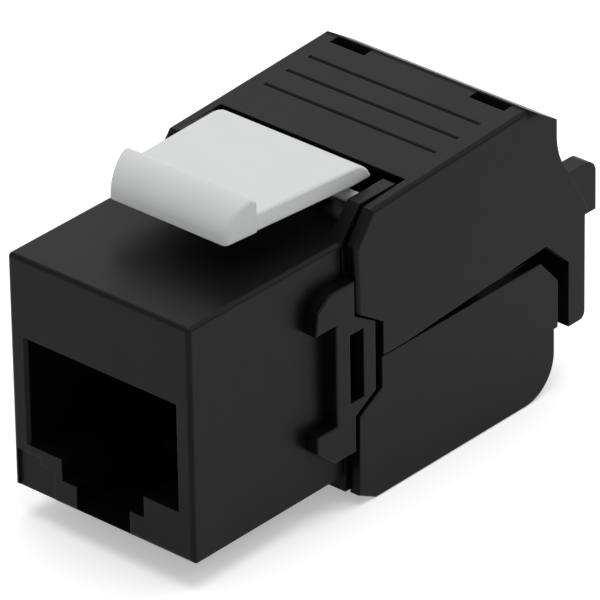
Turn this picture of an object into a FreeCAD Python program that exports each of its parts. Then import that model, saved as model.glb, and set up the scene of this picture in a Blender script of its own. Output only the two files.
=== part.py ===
import FreeCAD, Part
import itertools
import os

import Sketcher
from FreeCAD import Rotation, Vector

# Keystone jack with a snap latch and two hinged covers over the wire terminals.
# X is across, Y runs from the port face (0) to the rear, Z is up, 0 at the body's underside.

doc = FreeCAD.newDocument("keystone_jack")
sheet = doc.addObject("Spreadsheet::Sheet", "Sizes")
rows = itertools.count(1)

TOLERANCE = 1e-3
SIDES = (("right", 1), ("left", -1))
COLUMNS = 4
CONTACTS = 8
HALF_TURN = 180


class Measure:
    """A number kept together with the spreadsheet expression that gives it."""

    def __init__(self, value, text):
        self.value = value
        self.text = text

    def __add__(self, other):
        other = measure(other)
        return Measure(self.value + other.value, f"({self.text} + {other.text})")

    def __sub__(self, other):
        other = measure(other)
        return Measure(self.value - other.value, f"({self.text} - {other.text})")

    def __mul__(self, other):
        other = measure(other)
        return Measure(self.value * other.value, f"({self.text} * {other.text})")

    def __truediv__(self, other):
        other = measure(other)
        return Measure(self.value / other.value, f"({self.text} / {other.text})")

    def __neg__(self):
        return Measure(-self.value, f"(0 - {self.text})")


def measure(number):
    """Leaves a Measure as it is and wraps a plain number."""
    if isinstance(number, Measure):
        return number
    return Measure(float(number), f"({float(number)})")


def least(first, second):
    """The smaller of two measures."""
    return Measure(min(first.value, second.value), f"min({first.text}; {second.text})")


def size(alias, number, note):
    """Writes one driving dimension to the sheet and hands it back."""
    row = next(rows)
    sheet.set(f"A{row}", note)
    sheet.set(f"B{row}", str(number))
    sheet.setAlias(f"B{row}", alias)
    return Measure(float(number), f"Sizes.{alias}")


def behind(alias, number, note):
    """A place measured backwards from the rear of the front body."""
    return jack_depth + size(alias, number, note)


def ahead(alias, number, note):
    """A place measured forwards from the rear of the front body."""
    return jack_depth - size(alias, number, note)


def above(alias, number, note):
    """A height measured upwards from the middle of the terminal block."""
    return core_mid + size(alias, number, note)


def below(alias, number, note):
    """A height measured downwards from the middle of the terminal block."""
    return core_mid - size(alias, number, note)


def over_deck(alias, number, note):
    """A height measured upwards from the top of the front body."""
    return jack_height + size(alias, number, note)


# Front body with the port
port_width = size("port_width", 11.9, "width of the plug opening")
port_wall = size("port_wall", 1.3, "thickness of the front body's side walls")
port_floor = size("port_floor", 3.21, "height of the plug opening's floor")
port_top = size("port_top", 10.4, "height of the plug opening's ceiling")
roof_height = size("roof_height", 5.6, "height of the front body over the plug opening")
roof_wall = size("roof_wall", 1.4, "thickness of the deck over the hollow above the contacts")
roof_ledge = size("roof_ledge", 0.8, "width of the ledges beside that hollow")
port_lead = size("port_lead", 0.2, "bevel round the mouth of the port")
jack_depth = size("jack_depth", 13.4, "depth of the front body")
jack_edge = size("jack_edge", 0.3, "rounding of the front body's edges")
key_width = size("key_width", 6.62, "width of the upper step of the tab slot")
key_floor = size("key_floor", 1.74, "height of the upper step's floor")
tab_width = size("tab_width", 4.3, "width of the lower step of the tab slot")
tab_floor = size("tab_floor", 0.2, "height of the lower step's floor")
tab_depth = size("tab_depth", 7.5, "depth of the lower step of the tab slot")
label_rim = size("label_rim", 0.3, "distance of the label recess from the body's side")
label_apart = size("label_apart", 0.66, "distance of the label recess from the tab slot")
label_short = size("label_short", 1.05, "width of the low half of the label recess")
label_under = size("label_under", 0.56, "distance of the label recess below the port's floor")
label_step = size("label_step", 0.55, "step in the top of the label recess")
label_depth = size("label_depth", 0.2, "depth of the label recess")

half_jack = port_width / 2 + port_wall
jack_height = port_top + roof_height

# Tongue and rails that carry the latch
tongue_end = behind("tongue_reach", 5.6, "length of the tongue and rails behind the front body")
tongue_thin = size("tongue_thin", 0.45, "thickness of the tongue's edges")
tongue_thick = size("tongue_thick", 1.7, "thickness of the tongue's middle")
tongue_ledge = size("tongue_ledge", 1.05, "width of the tongue's thin edge")
tongue_play = size("tongue_play", 0.05, "gap between tongue and terminal housing")
rail_width = size("rail_width", 0.95, "width of each latch rail")
rail_height = size("rail_height", 1.95, "height of the latch rails over the deck")
rail_start = behind("rail_start", 0.05, "start of the rails' ramps")
rail_ramp = size("rail_ramp", 1.75, "length of the rails' ramps")
rail_bevel = size("rail_bevel", 0.6, "bevel at the rails' rear ends")

# Terminal housing
core_drop = size("core_drop", 0.15, "middle of the terminal block below the middle of the front body")
core_mid = jack_height / 2 - core_drop
seam = size("seam", 0.1, "gap between front body and terminal housing")
flange_proud = size("flange_proud", 0.07, "how far the flange stands out at the front body's side")
flange_thick = size("flange_thick", 2.3, "thickness of the flange")
flange_foot = size("flange_foot", 1.15, "depth of the flange below the front body")
arm_gap = size("arm_gap", 0.08, "gap between the flange and the covers' arms")
core_gap = size("core_gap", 0.5, "gap between the terminal block and the covers' side walls")
core_height = size("core_height", 10.5, "height of the terminal block")
core_side = size("core_side", 1.0, "width of the terminal block beyond its four columns")
divider_inset = size("divider_inset", 0.7, "distance of the divider's blade from the block's side")
divider_thick = size("divider_thick", 1.0, "thickness of the wire divider")
divider_tall = size("divider_tall", 7.0, "height of the wire divider's upright blade")
divider_length = size("divider_length", 1.3, "length of the wire divider")
wire_slot = size("wire_slot", 1.3, "width of a wire slot")
wire_floor = size("wire_floor", 2.7, "wire slot floor from the middle of the block")
fork_place = behind("fork_place", 8.1, "middle of the terminals")
wire_start = fork_place - size("wire_ahead", 1.7, "length of the wire slots before the terminals")
core_end = fork_place + size("core_behind", 4.2, "length of the terminal block behind the terminals")

# Side brackets of the terminal housing
bracket_play = size("bracket_play", 0.03, "gap between bracket and front body")
bracket_thick = size("bracket_thick", 0.9, "thickness of the brackets")
bracket_edge = size("bracket_edge", 0.1, "rounding of the brackets' outer edges")
bracket_front = ahead("bracket_front", 3.3, "front edge of the bracket's horns")
bracket_web = ahead("bracket_web", 1.5, "front edge of the bracket's web")
bracket_neck = behind("bracket_neck", 0.2, "rear edge of the bracket's ends")
bracket_back = behind("bracket_back", 2.07, "rear edge of the bracket's strip")
bracket_low = below("bracket_low", 5.89, "underside of the bracket")
bracket_high = above("bracket_high", 5.85, "top of the bracket")
horn_low = below("horn_low", 3.42, "top of the lower horn")
horn_high = above("horn_high", 3.5, "underside of the upper horn")
horn_lean = size("horn_lean", 0.2, "how far the upper horn's front edge leans back")
low_bevel_long = size("low_bevel_long", 1.62, "length of the lower horn's bevel")
low_bevel_tall = size("low_bevel_tall", 1.35, "height of the lower horn's bevel")
high_bevel_long = size("high_bevel_long", 1.35, "length of the upper horn's bevel")
high_bevel_tall = size("high_bevel_tall", 0.81, "height of the upper horn's bevel")
strip_low = below("strip_low", 2.37, "lower end of the rear strip")
strip_high = above("strip_high", 2.35, "upper end of the rear strip")
strip_slope = size("strip_slope", 1.1, "drop of the strip's slanted ends")
slot_front = ahead("slot_front", 0.3, "front end of the side slot")
slot_back = behind("slot_back", 0.95, "rear end of the side slot")
slot_deep = size("slot_deep", 0.45, "depth of the side slot inside the bracket")

# Contacts and circuit board
contact_pitch = size("contact_pitch", 1.02, "spacing of the plug contacts")
contact_width = size("contact_width", 0.4, "width of a plug contact")
contact_thick = size("contact_thick", 0.3, "thickness of a plug contact")
contact_top = port_top + size("contact_rise", 0.7, "upper run of the contacts over the port")
contact_bend = size("contact_bend", 3.9, "where the plug contacts turn back")
contact_knee = size("contact_knee", 0.9, "drop of the plug contacts' bend")
contact_lean = size("contact_lean", 0.45, "how far the contacts lean forward at that bend")
contact_tip = port_top - size("contact_drop", 2.5, "drop of the contacts' free ends into the port")
contact_reach = size("contact_reach", 9.6, "where the plug contacts' free ends lie")
carrier_play = size("carrier_play", 0.1, "gap round the contact carrier")
carrier_side = size("carrier_side", 0.1, "how far the contact carrier reaches beyond the port's side")
carrier_front = size("carrier_front", 2.7, "front end of the contact carrier")
carrier_wall = size("carrier_wall", 1.2, "thickness of the contact carrier's back")
carrier_low = size("carrier_low", 1.3, "underside of the contact carrier")
carrier_high = jack_height - size("carrier_roof", 2.9, "top of the contact carrier below the deck")
carrier_shelf = port_top + size("shelf_rise", 0.2, "underside of the carrier's shelf over the port")
comb_slot = size("comb_slot", 0.6, "width of the contact carrier's slots")
comb_bar = size("comb_bar", 0.5, "bar in front of the contact carrier's slots")
board_side = size("board_side", 0.4, "how far the circuit board reaches beyond the port's side")
board_low = size("board_low", 1.6, "lower edge of the circuit board")
board_high = jack_height - size("board_roof", 2.7, "upper edge of the circuit board below the deck")
board_thick = size("board_thick", 1.2, "thickness of the circuit board")
board_play = size("board_play", 0.1, "gap round the circuit board")
contact_hole = size("contact_hole", 0.6, "holes for the plug contacts")
fork_hole = size("fork_hole", 0.9, "holes for the terminals' tails")
fork_apart = size("fork_apart", 0.6, "gap between two terminals of a row")
fork_thick = size("fork_thick", 0.5, "thickness of a terminal")
fork_base = size("fork_base", 1.4, "foot of a terminal from the middle of the block")
fork_height = size("fork_height", 3.6, "height of a terminal")
fork_slit = size("fork_slit", 0.32, "slit of a terminal")
fork_slit_deep = size("fork_slit_deep", 2.4, "depth of a terminal's slit")
fork_point = size("fork_point", 0.78, "points of a terminal from its middle")
fork_shoulder = size("fork_shoulder", 0.4, "drop of a terminal's shoulders")
fork_mouth = size("fork_mouth", 0.6, "depth of the mouth over a terminal's slit")
fork_play = size("fork_play", 0.05, "gap round a terminal")
tail_width = size("tail_width", 0.6, "width of a terminal's tail")
tail_thick = size("tail_thick", 0.4, "thickness of a terminal's tail")

# Hinges and walls that both covers share
hinge_place = behind("hinge_place", 1.6, "hinge pins behind the front body")
hinge_inset = size("hinge_inset", 1.05, "hinge pins inside the front body's top and underside")
hinge_pin = size("hinge_pin", 1.4, "diameter of a hinge pin")
hinge_play = size("hinge_play", 0.05, "radial gap of a hinge pin")
pin_skin = size("pin_skin", 0.23, "end of a hinge pin inside the covers' outer face")
pin_room = size("pin_room", 0.07, "gap at the end of a pin")
cover_plate = size("cover_plate", 1.0, "thickness of the covers' plates")
cover_edge = size("cover_edge", 0.3, "rounding of the upper cover's outer edges")
rear_plate = size("rear_plate", 1.1, "thickness of the covers' rear walls")
parting = below("parting", 0.35, "parting line of the covers at the front")
parting_gap = size("parting_gap", 0.1, "gap between the covers")
presser_width = size("presser_width", 1.0, "width of a wire presser")
presser_tip = size("presser_tip", 4.75, "wire presser's tip from the middle height")
presser_front = fork_place - size("presser_ahead", 1.1, "front end of the wire pressers")
presser_back = fork_place + size("presser_behind", 1.9, "rear end of the wire pressers")
presser_gap = size("presser_gap", 1.2, "gap in a presser for the terminal")
cable_mouth = size("cable_mouth", 7.0, "width of the cable mouth")
cable_height = below("cable_height", 0.45, "middle of the cable mouth")

# Upper cover
upper_front = behind("upper_front", 0.45, "front edge of the upper cover's arms")
upper_arm_low = strip_high + strip_slope + size("upper_arm_gap", 0.05, "gap over the bracket's strip")
upper_step = bracket_back + size("upper_step", 0.68, "upper cheeks behind the bracket's strip")
upper_step_high = strip_high - size("upper_step_high", 0.35, "top of the cheeks' front edge")
parting_flat = behind("parting_flat", 4.9, "rear end of the parting line's level part")
top_front = behind("top_front", 1.9, "front edge of the upper cover's top")
top_high = over_deck("top_high", 1.76, "height of the top at its front edge")
top_rise = size("top_rise", 0.0547, "slope of the top")
nose_high = top_high - size("nose_drop", 1.99, "drop of the arms' nose below the top")
leg_back = behind("leg_back", 21.65, "rear edge of the upper cover's legs")
leg_front = leg_back - size("leg_thick", 1.55, "thickness of the legs")
leg_low = below("leg_low", 6.0, "lower end of the legs")
leg_shoulder = below("leg_shoulder", 1.41, "top of the legs' front edge")
leg_round = size("leg_round", 0.5, "rounding of the legs' feet")
apex_place = leg_front - size("apex_ahead", 2.18, "peak of the lower edge before the legs")
apex_high = above("apex_high", 0.61, "height of that peak")
ear_low = above("ear_low", 1.3, "underside of the ears")
ear_out = size("ear_out", 0.25, "how far an ear overhangs its leg")
ear_face = size("ear_face", 0.06, "overhang of an ear at the foot of its slope")
ear_face_high = size("ear_face_high", 0.75, "height of an ear's upright face")
ear_place = leg_back - size("ear_ahead", 1.46, "upper end of the ears' slope before their legs")
ear_high = above("ear_high", 4.74, "height of that end")
bend_rise = size("bend_rise", 1.59, "rise of the hollow curve's corner over the ears' slope")
bend_round = size("bend_round", 4.7, "radius of the hollow curve")
bend_limit = size("bend_limit", 3.0, "largest radius of the hollow curve as a multiple of that rise")
rear_place = leg_back - size("rear_ahead", 2.71, "rear face of the shell before the legs' rear")
rear_high = top_high - size("rear_drop", 0.89, "drop of the rear face's top below the top")
rear_under = size("rear_under", 0.15, "inner corner over the rear face's top")
top_back = rear_place - size("top_ahead", 2.66, "rear edge of the top before the rear face")
notch_back = tongue_end + size("notch_gap", 0.2, "gap between tongue and notch")
notch_edge = size("notch_edge", 0.35, "thickness of the plate at the notch")
notch_slope = size("notch_slope", 0.7, "length over which the plate thickens behind the notch")
knob_out = size("knob_out", 0.68, "outer side of the rear tabs from the cover's side")
knob_width = size("knob_width", 1.3, "width of the rear tabs")
knob_root = size("knob_root", 1.2, "depth of the rear tabs' roots")
knob_back = leg_back + size("knob_reach", 1.85, "length of the rear tabs")
knob_low = above("knob_low", 0.65, "underside of the rear tabs")
knob_high = above("knob_high", 4.2, "top of the rear tabs")
knob_round = size("knob_round", 0.9, "rounding of the rear tabs' tops")
window_rim = size("window_rim", 0.08, "rim behind the rear windows")
window_long = size("window_long", 0.85, "length of the rear windows")
window_inset = size("window_inset", 1.18, "outer end of the rear windows from the cover's side")
window_wide = size("window_wide", 2.8, "width of the rear windows")
groove_pitch = size("groove_pitch", 2.05, "spacing of the grip grooves")
groove_count = 3
groove_wide = size("groove_wide", 0.3, "width of a grip groove")
groove_deep = size("groove_deep", 0.15, "depth of a grip groove")
groove_inset = size("groove_inset", 1.33, "ends of the grip grooves from the cover's side")

# Lower cover
lower_front = behind("lower_front", 0.55, "front edge of the lower cover's arms")
lower_arm_high = strip_low - strip_slope - size("lower_arm_gap", 0.18, "gap under the strip")
lower_step = bracket_back + size("lower_step", 0.53, "lower cheeks behind the bracket's strip")
lower_step_low = strip_low - size("lower_step_low", 0.13, "foot of the cheeks' front edge")
lower_back = leg_front - size("lower_back", 1.05, "rear face of the lower cover before the legs")
lower_peak = lower_back - size("lower_peak", 1.67, "length of the lower cover's rear slope")
lower_shoulder = below("lower_shoulder", 2.26, "height of the rear shoulder")
lower_heel = below("lower_heel", 5.55, "underside of the rear shoulder")
lower_heel_step = size("lower_heel_step", 0.25, "step below the rear shoulder")
lower_bottom = below("lower_bottom", 9.95, "underside of the lower cover")
lower_edge = size("lower_edge", 0.15, "rounding of the lower cover's lower edges")
lower_round = size("lower_round", 2.75, "rounding at the lower cover's rear")
lower_inner = size("lower_inner", 1.9, "bevel inside that rounding")
lower_chin = below("lower_chin", 9.15, "lower end of the arms' front edge")
lower_chin_back = behind("lower_chin_back", 2.0, "rear end of the chin's slope")
lower_notch = size("lower_notch", 1.4, "front edge of the lower plate behind the flange")

# Snap latch
latch_pivot = behind("latch_pivot", 3.3, "pivot of the latch")
latch_axis_high = over_deck("latch_pivot_high", 1.1, "height of that pivot")
latch_pin = size("latch_pin", 1.0, "diameter of the latch's trunnions")
latch_play = size("latch_play", 0.05, "radial gap of the trunnions")
trunnion_skin = size("trunnion_skin", 0.35, "end of a trunnion inside the rail's outer face")
latch_beside = size("latch_beside", 0.65, "gap between the latch's waist and the rails")
latch_over = size("latch_over", 0.3, "how far the latch's shoulders reach over the rails")
latch_taper = size("latch_taper", 0.35, "how much narrower each side is at the lip")
lip_inset = size("lip_inset", 0.55, "how much narrower each side of the lip is")
latch_back = latch_pivot + size("latch_behind", 0.75, "rear edge of the latch behind its pivot")
waist_place = latch_pivot - size("waist_ahead", 1.5, "waist of the latch before its pivot")
shoulder_place = latch_back - size("shoulder_long", 1.35, "length of the latch's shoulders")
shoulder_gap = size("shoulder_gap", 0.2, "gap between the latch's shoulders and the rails")
side_bend = size("side_bend", 0.5, "rounding between the latch's waist and shoulders")
latch_corner = size("latch_corner", 0.9, "rounding of the latch's rear corners")
latch_edge = size("latch_edge", 0.28, "rounding of the latch's upper edges")
latch_top = over_deck("latch_top", 3.22, "top of the latch at its rear")
latch_rise = size("latch_rise", 0.2, "how much higher the plate is at the lip")
latch_thick = size("latch_thick", 1.25, "thickness of the latch plate")
block_front = latch_pivot - size("block_ahead", 0.9, "front side of the latch's pivot block")
block_gap = size("block_gap", 0.3, "gap under the latch's pivot block")
lip_back = ahead("lip_back", 4.65, "rear side of the lip")
lip_high = over_deck("lip_high", 4.5, "height of the lip's crest")
lip_slope = size("lip_slope", 0.15, "drop of the lip's top behind its crest")
lip_crest = size("lip_crest", 0.7, "crest of the lip before its rear side")
lip_brow = size("lip_brow", 1.69, "length of the lip's top before its crest")
lip_brow_drop = size("lip_brow_drop", 0.34, "drop of the lip's top before its crest")
lip_face = size("lip_face", 0.18, "how far the lip's face leans forward")
lip_low = over_deck("lip_low", 1.95, "underside of the lip")
lip_round = size("lip_round", 1.9, "rounding of the lip's front")
lip_foot = size("lip_foot", 0.35, "rounding at the foot of the lip's front")
lip_edge = size("lip_edge", 0.25, "rounding of the lip's ends")

# Values that several pieces share
bracket_inside = half_jack + bracket_play
half_outer = bracket_inside + bracket_thick
half_flange = half_jack + flange_proud
flange_front = jack_depth + seam
flange_back = flange_front + flange_thick
cover_inside = half_flange + arm_gap
half_core = cover_inside - core_gap
column_pitch = (half_core * 2 - core_side) / COLUMNS
hinge_rise = jack_height / 2 - hinge_inset
hinge_high = core_mid + hinge_rise
hinge_low = core_mid - hinge_rise
hinge_reach = half_outer - pin_skin
tongue_low = jack_height - tongue_thin
rail_inside = half_jack - rail_width
trunnion_reach = half_jack - trunnion_skin
board_front = jack_depth + board_play / 2
board_back = board_front + board_thick
columns = [column_pitch * (place - (COLUMNS - 1) / 2) for place in range(COLUMNS)]
contact_places = [contact_pitch * (place - (CONTACTS - 1) / 2) for place in range(CONTACTS)]
beyond = measure(1.0)


def top_at(place):
    """Height of the upper cover's sloping top at a distance from the port face."""
    return top_high + (place - top_front) * top_rise


def new_body(name):
    """Starts a piece whose label is its node's name."""
    body = doc.addObject("PartDesign::Body", name)
    body.Label = name
    return body


def origin_plane(body, role):
    """Finds one of the body's own base planes."""
    for feature in body.Origin.OriginFeatures:
        if feature.Role == role:
            return feature
    raise ValueError(role)


def new_sketch(body, name, role, offset=0):
    """Starts a sketch on a base plane of its own body, moved along the plane's normal."""
    sketch = body.newObject("Sketcher::SketchObject", f"{body.Label}_{name}")
    sketch.AttachmentSupport = (origin_plane(body, role), [""])
    sketch.MapMode = "FlatFace"
    sketch.setExpression("AttachmentOffset.Base.z", measure(offset).text)
    return sketch


def side_sketch(body, name, offset=0):
    """A sketch in Y and Z, at a distance along +X."""
    return new_sketch(body, name, "YZ_Plane", offset)


def front_sketch(body, name, place=0):
    """A sketch in X and Z, at a distance behind the port face."""
    return new_sketch(body, name, "XZ_Plane", -measure(place))


def level_sketch(body, name, height=0):
    """A sketch in X and Y, at a height."""
    return new_sketch(body, name, "XY_Plane", height)


def tie(sketch, geometry, point, place):
    """Ties a sketch point to its two coordinates."""
    across = measure(place[0])
    upward = measure(place[1])
    for kind, coordinate in (("DistanceX", across), ("DistanceY", upward)):
        rule = Sketcher.Constraint(kind, -1, 1, geometry, point, coordinate.value)
        index = sketch.addConstraint(rule)
        sketch.setExpression(f"Constraints[{index}]", coordinate.text)


def draw_outline(sketch, places):
    """Draws a closed outline of straight edges, each corner tied to its place."""
    first = sketch.GeometryCount
    total = len(places)
    corners = [Vector(measure(x).value, measure(y).value, 0) for x, y in places]
    for index in range(total):
        edge = Part.LineSegment(corners[index], corners[(index + 1) % total])
        sketch.addGeometry(edge, False)
    for index in range(total):
        following = first + (index + 1) % total
        sketch.addConstraint(Sketcher.Constraint("Coincident", first + index, 2, following, 1))
        tie(sketch, first + index, 1, places[index])


def draw_circle(sketch, centre, diameter):
    """Draws a circle tied to its centre and diameter."""
    middle = Vector(measure(centre[0]).value, measure(centre[1]).value, 0)
    circle = Part.Circle(middle, Vector(0, 0, 1), diameter.value / 2)
    geometry = sketch.addGeometry(circle, False)
    tie(sketch, geometry, 3, centre)
    index = sketch.addConstraint(Sketcher.Constraint("Diameter", geometry, diameter.value))
    sketch.setExpression(f"Constraints[{index}]", diameter.text)


def rectangle(left, right, low, high):
    """Corners of a rectangle."""
    return [(left, low), (right, low), (right, high), (left, high)]


def extrude(body, kind, sketch, length, both=False, back=False):
    """Pads or pockets a sketch, both ways from its plane or to one side."""
    feature = body.newObject(f"PartDesign::{kind}", f"{sketch.Name}_{kind.lower()}")
    feature.Profile = sketch
    feature.setExpression("Length", measure(length).text)
    feature.SideType = "Symmetric" if both else "One side"
    feature.Reversed = back
    sketch.Visibility = False
    return feature


def pad(body, sketch, length, both=False, back=False):
    """Adds material along the sketch's normal."""
    return extrude(body, "Pad", sketch, length, both, back)


def pocket(body, sketch, length, both=False, back=False):
    """Removes material against the sketch's normal."""
    return extrude(body, "Pocket", sketch, length, both, back)


def lies_at(edge, x=None, y=None, z=None):
    """True where the whole edge keeps the coordinates that are given."""
    box = edge.BoundBox
    spans = ((x, box.XMin, box.XMax), (y, box.YMin, box.YMax), (z, box.ZMin, box.ZMax))
    for wanted, low, high in spans:
        if wanted is None:
            continue
        place = measure(wanted).value
        if abs(low - place) > TOLERANCE or abs(high - place) > TOLERANCE:
            return False
    return True


def dress(body, kind, name, amount, chosen):
    """Rounds or bevels the chosen edges of what the body holds so far."""
    doc.recompute()
    base = body.Tip
    edges = base.Shape.Edges
    names = [f"Edge{number}" for number, edge in enumerate(edges, 1) if chosen(edge)]
    feature = body.newObject(f"PartDesign::{kind}", f"{body.Label}_{name}")
    feature.Base = (base, names)
    amount_name = "Radius" if kind == "Fillet" else "Size"
    feature.setExpression(amount_name, measure(amount).text)
    return feature


def front_housing():
    """Front body with the plug opening, and the tongue and rails that carry the latch."""
    body = new_body("front_housing")
    outline = front_sketch(body, "block")
    draw_outline(outline, rectangle(-half_jack, half_jack, 0, jack_height))
    pad(body, outline, jack_depth, back=True)

    def outer_edge(edge):
        upright = lies_at(edge, half_jack, 0) or lies_at(edge, -half_jack, 0)
        lengthwise = lies_at(edge, half_jack, z=jack_height) or lies_at(edge, -half_jack, z=jack_height)
        crosswise = lies_at(edge, y=0, z=jack_height) or lies_at(edge, y=0, z=0)
        return upright or lengthwise or crosswise

    dress(body, "Fillet", "edges", jack_edge, outer_edge)

    half_port = port_width / 2
    half_key = key_width / 2
    half_tab = tab_width / 2
    port = front_sketch(body, "port")
    draw_outline(port, [
        (-half_port, port_top), (-half_port, port_floor), (-half_key, port_floor), (-half_key, key_floor),
        (half_key, key_floor), (half_key, port_floor), (half_port, port_floor), (half_port, port_top)])
    pocket(body, port, jack_depth - carrier_wall - carrier_play * 2)
    tab = front_sketch(body, "tab_slot")
    draw_outline(tab, rectangle(-half_tab, half_tab, tab_floor, key_floor + beyond))
    pocket(body, tab, tab_depth)

    def mouth_edge(edge):
        side = lies_at(edge, half_port, 0) or lies_at(edge, -half_port, 0)
        level = lies_at(edge, y=0, z=port_top)
        return side or level

    dress(body, "Chamfer", "mouth", port_lead, mouth_edge)
    label_right = half_key + label_apart
    label_mid = label_right + label_short
    label_left = half_jack - label_rim
    label_high = port_floor - label_under
    label_low = label_high - label_step
    label = front_sketch(body, "label")
    draw_outline(label, [
        (-label_left, -beyond), (-label_right, -beyond), (-label_right, label_low),
        (-label_mid, label_low), (-label_mid, label_high), (-label_left, label_high)])
    pocket(body, label, label_depth)

    half_space = half_port + carrier_side + carrier_play
    space_top = carrier_high + carrier_play
    space_front = carrier_front - carrier_play
    shelf_space = front_sketch(body, "shelf_space", jack_depth)
    draw_outline(shelf_space, rectangle(-half_space, half_space, port_top, space_top))
    pocket(body, shelf_space, jack_depth - space_front, back=True)
    back_space = front_sketch(body, "back_space", jack_depth)
    draw_outline(back_space, rectangle(-half_space, half_space, carrier_low - carrier_play, port_top))
    pocket(body, back_space, carrier_wall + carrier_play * 2, back=True)
    roof_space = front_sketch(body, "roof_space", jack_depth)
    draw_outline(roof_space, rectangle(
        roof_ledge - half_space, half_space - roof_ledge, space_top, jack_height - roof_wall))
    pocket(body, roof_space, jack_depth - space_front, back=True)

    tongue = front_sketch(body, "tongue", jack_depth)
    inner = half_jack - tongue_ledge
    keel = jack_height - tongue_thick
    draw_outline(tongue, [
        (-half_jack, jack_height), (-half_jack, tongue_low), (-inner, tongue_low), (-inner, keel),
        (inner, keel), (inner, tongue_low), (half_jack, tongue_low), (half_jack, jack_height)])
    pad(body, tongue, tongue_end - jack_depth, back=True)

    rail_top = jack_height + rail_height
    rail_foot = jack_height - tongue_thin / 2
    for name, side in SIDES:
        rail = side_sketch(body, f"rail_{name}", rail_inside * side)
        draw_outline(rail, [
            (rail_start, rail_foot), (tongue_end, rail_foot), (tongue_end, rail_top - rail_bevel),
            (tongue_end - rail_bevel, rail_top), (rail_start + rail_ramp, rail_top),
            (rail_start, jack_height)])
        pad(body, rail, rail_width, back=side < 0)
    for name, side in SIDES:
        bore = side_sketch(body, f"bore_{name}", rail_inside * side)
        draw_circle(bore, (latch_pivot, latch_axis_high), latch_pin + latch_play * 2)
        pocket(body, bore, trunnion_reach - rail_inside + pin_room, back=side > 0)
    return body


def bracket_outline():
    """Outline of the side bracket: two horns on a web, and a strip behind the slot."""
    return [
        (bracket_front, horn_high), (bracket_web, horn_high), (bracket_web, horn_low),
        (bracket_front, horn_low), (bracket_front, bracket_low + low_bevel_tall),
        (bracket_front + low_bevel_long, bracket_low), (bracket_neck, bracket_low),
        (bracket_neck, strip_low - strip_slope), (bracket_back, strip_low),
        (bracket_back, strip_high), (bracket_neck, strip_high + strip_slope),
        (bracket_neck, bracket_high), (bracket_front + high_bevel_long, bracket_high),
        (bracket_front + horn_lean, bracket_high - high_bevel_tall)]


def terminal_housing():
    """Rear moulding: flange, terminal block, hinge pins and the side brackets."""
    body = new_body("terminal_housing")
    flange = front_sketch(body, "flange", flange_front)
    ear_inside = half_jack - tongue_ledge + tongue_play
    keel = jack_height - tongue_thick - tongue_play
    flange_top = tongue_low - tongue_play
    draw_outline(flange, [
        (-half_flange, -flange_foot), (half_flange, -flange_foot), (half_flange, flange_top),
        (ear_inside, flange_top), (ear_inside, keel), (-ear_inside, keel),
        (-ear_inside, flange_top), (-half_flange, flange_top)])
    pad(body, flange, flange_thick, back=True)

    for name, side in SIDES:
        bracket = side_sketch(body, f"bracket_{name}", bracket_inside * side)
        draw_outline(bracket, bracket_outline())
        pad(body, bracket, bracket_thick, back=side < 0)

    def bracket_rim(edge):
        return lies_at(edge, half_outer) or lies_at(edge, -half_outer)

    dress(body, "Fillet", "bracket_edges", bracket_edge, bracket_rim)

    core_top = core_mid + core_height / 2
    core_low = core_mid - core_height / 2
    core = front_sketch(body, "core", flange_front + beyond)
    draw_outline(core, rectangle(-half_core, half_core, core_low, core_top))
    pad(body, core, core_end - flange_front - beyond, back=True)

    cross = divider_thick / 2
    wide = half_core - divider_inset
    tall = divider_tall / 2
    divider = front_sketch(body, "divider", core_end - beyond)
    draw_outline(divider, [
        (-wide, core_mid - cross), (-cross, core_mid - cross), (-cross, core_mid - tall),
        (cross, core_mid - tall), (cross, core_mid - cross), (wide, core_mid - cross),
        (wide, core_mid + cross), (cross, core_mid + cross), (cross, core_mid + tall),
        (-cross, core_mid + tall), (-cross, core_mid + cross), (-wide, core_mid + cross)])
    pad(body, divider, divider_length + beyond, back=True)

    for name, side in SIDES:
        slot = side_sketch(body, f"slot_{name}", half_outer * side)
        draw_outline(slot, rectangle(slot_front, slot_back, strip_low, strip_high))
        pocket(body, slot, half_outer - half_flange + slot_deep, back=side < 0)
        pins = side_sketch(body, f"pins_{name}", (half_flange - beyond / 2) * side)
        draw_circle(pins, (hinge_place, hinge_high), hinge_pin)
        draw_circle(pins, (hinge_place, hinge_low), hinge_pin)
        pad(body, pins, hinge_reach - half_flange + beyond / 2, back=side < 0)

    board_space = front_sketch(body, "board_space", flange_front)
    half_space = port_width / 2 + board_side + board_play
    draw_outline(board_space, rectangle(
        -half_space, half_space, board_low - board_play, board_high + board_play))
    pocket(body, board_space, board_back + board_play - flange_front)

    slots = front_sketch(body, "wire_slots", core_end)
    for column in columns:
        left = column - wire_slot / 2
        right = column + wire_slot / 2
        draw_outline(slots, rectangle(left, right, core_mid + wire_floor, core_top + beyond))
        draw_outline(slots, rectangle(left, right, core_low - beyond, core_mid - wire_floor))
    pocket(body, slots, core_end - wire_start, back=True)

    slit_front = fork_place - fork_thick / 2 - fork_play
    slit_back = fork_place + fork_thick / 2 + fork_play
    slit_half = (column_pitch - fork_apart) / 2 + fork_play
    slit_depth = core_height / 2 - fork_base + fork_play
    for name, height, downward in (("upper", core_top, True), ("lower", core_low, False)):
        slits = level_sketch(body, f"slits_{name}", height)
        for column in columns:
            draw_outline(slits, rectangle(column - slit_half, column + slit_half, slit_front, slit_back))
        pocket(body, slits, slit_depth, back=not downward)

    tails = front_sketch(body, "tail_channels", board_back)
    tail_half = tail_width / 2 + fork_play
    near = fork_base - fork_play
    far = fork_base + tail_thick + fork_play
    for column in columns:
        left = column - tail_half
        right = column + tail_half
        draw_outline(tails, rectangle(left, right, core_mid + near, core_mid + far))
        draw_outline(tails, rectangle(left, right, core_mid - far, core_mid - near))
    pocket(body, tails, slit_back - board_back)
    return body


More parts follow.
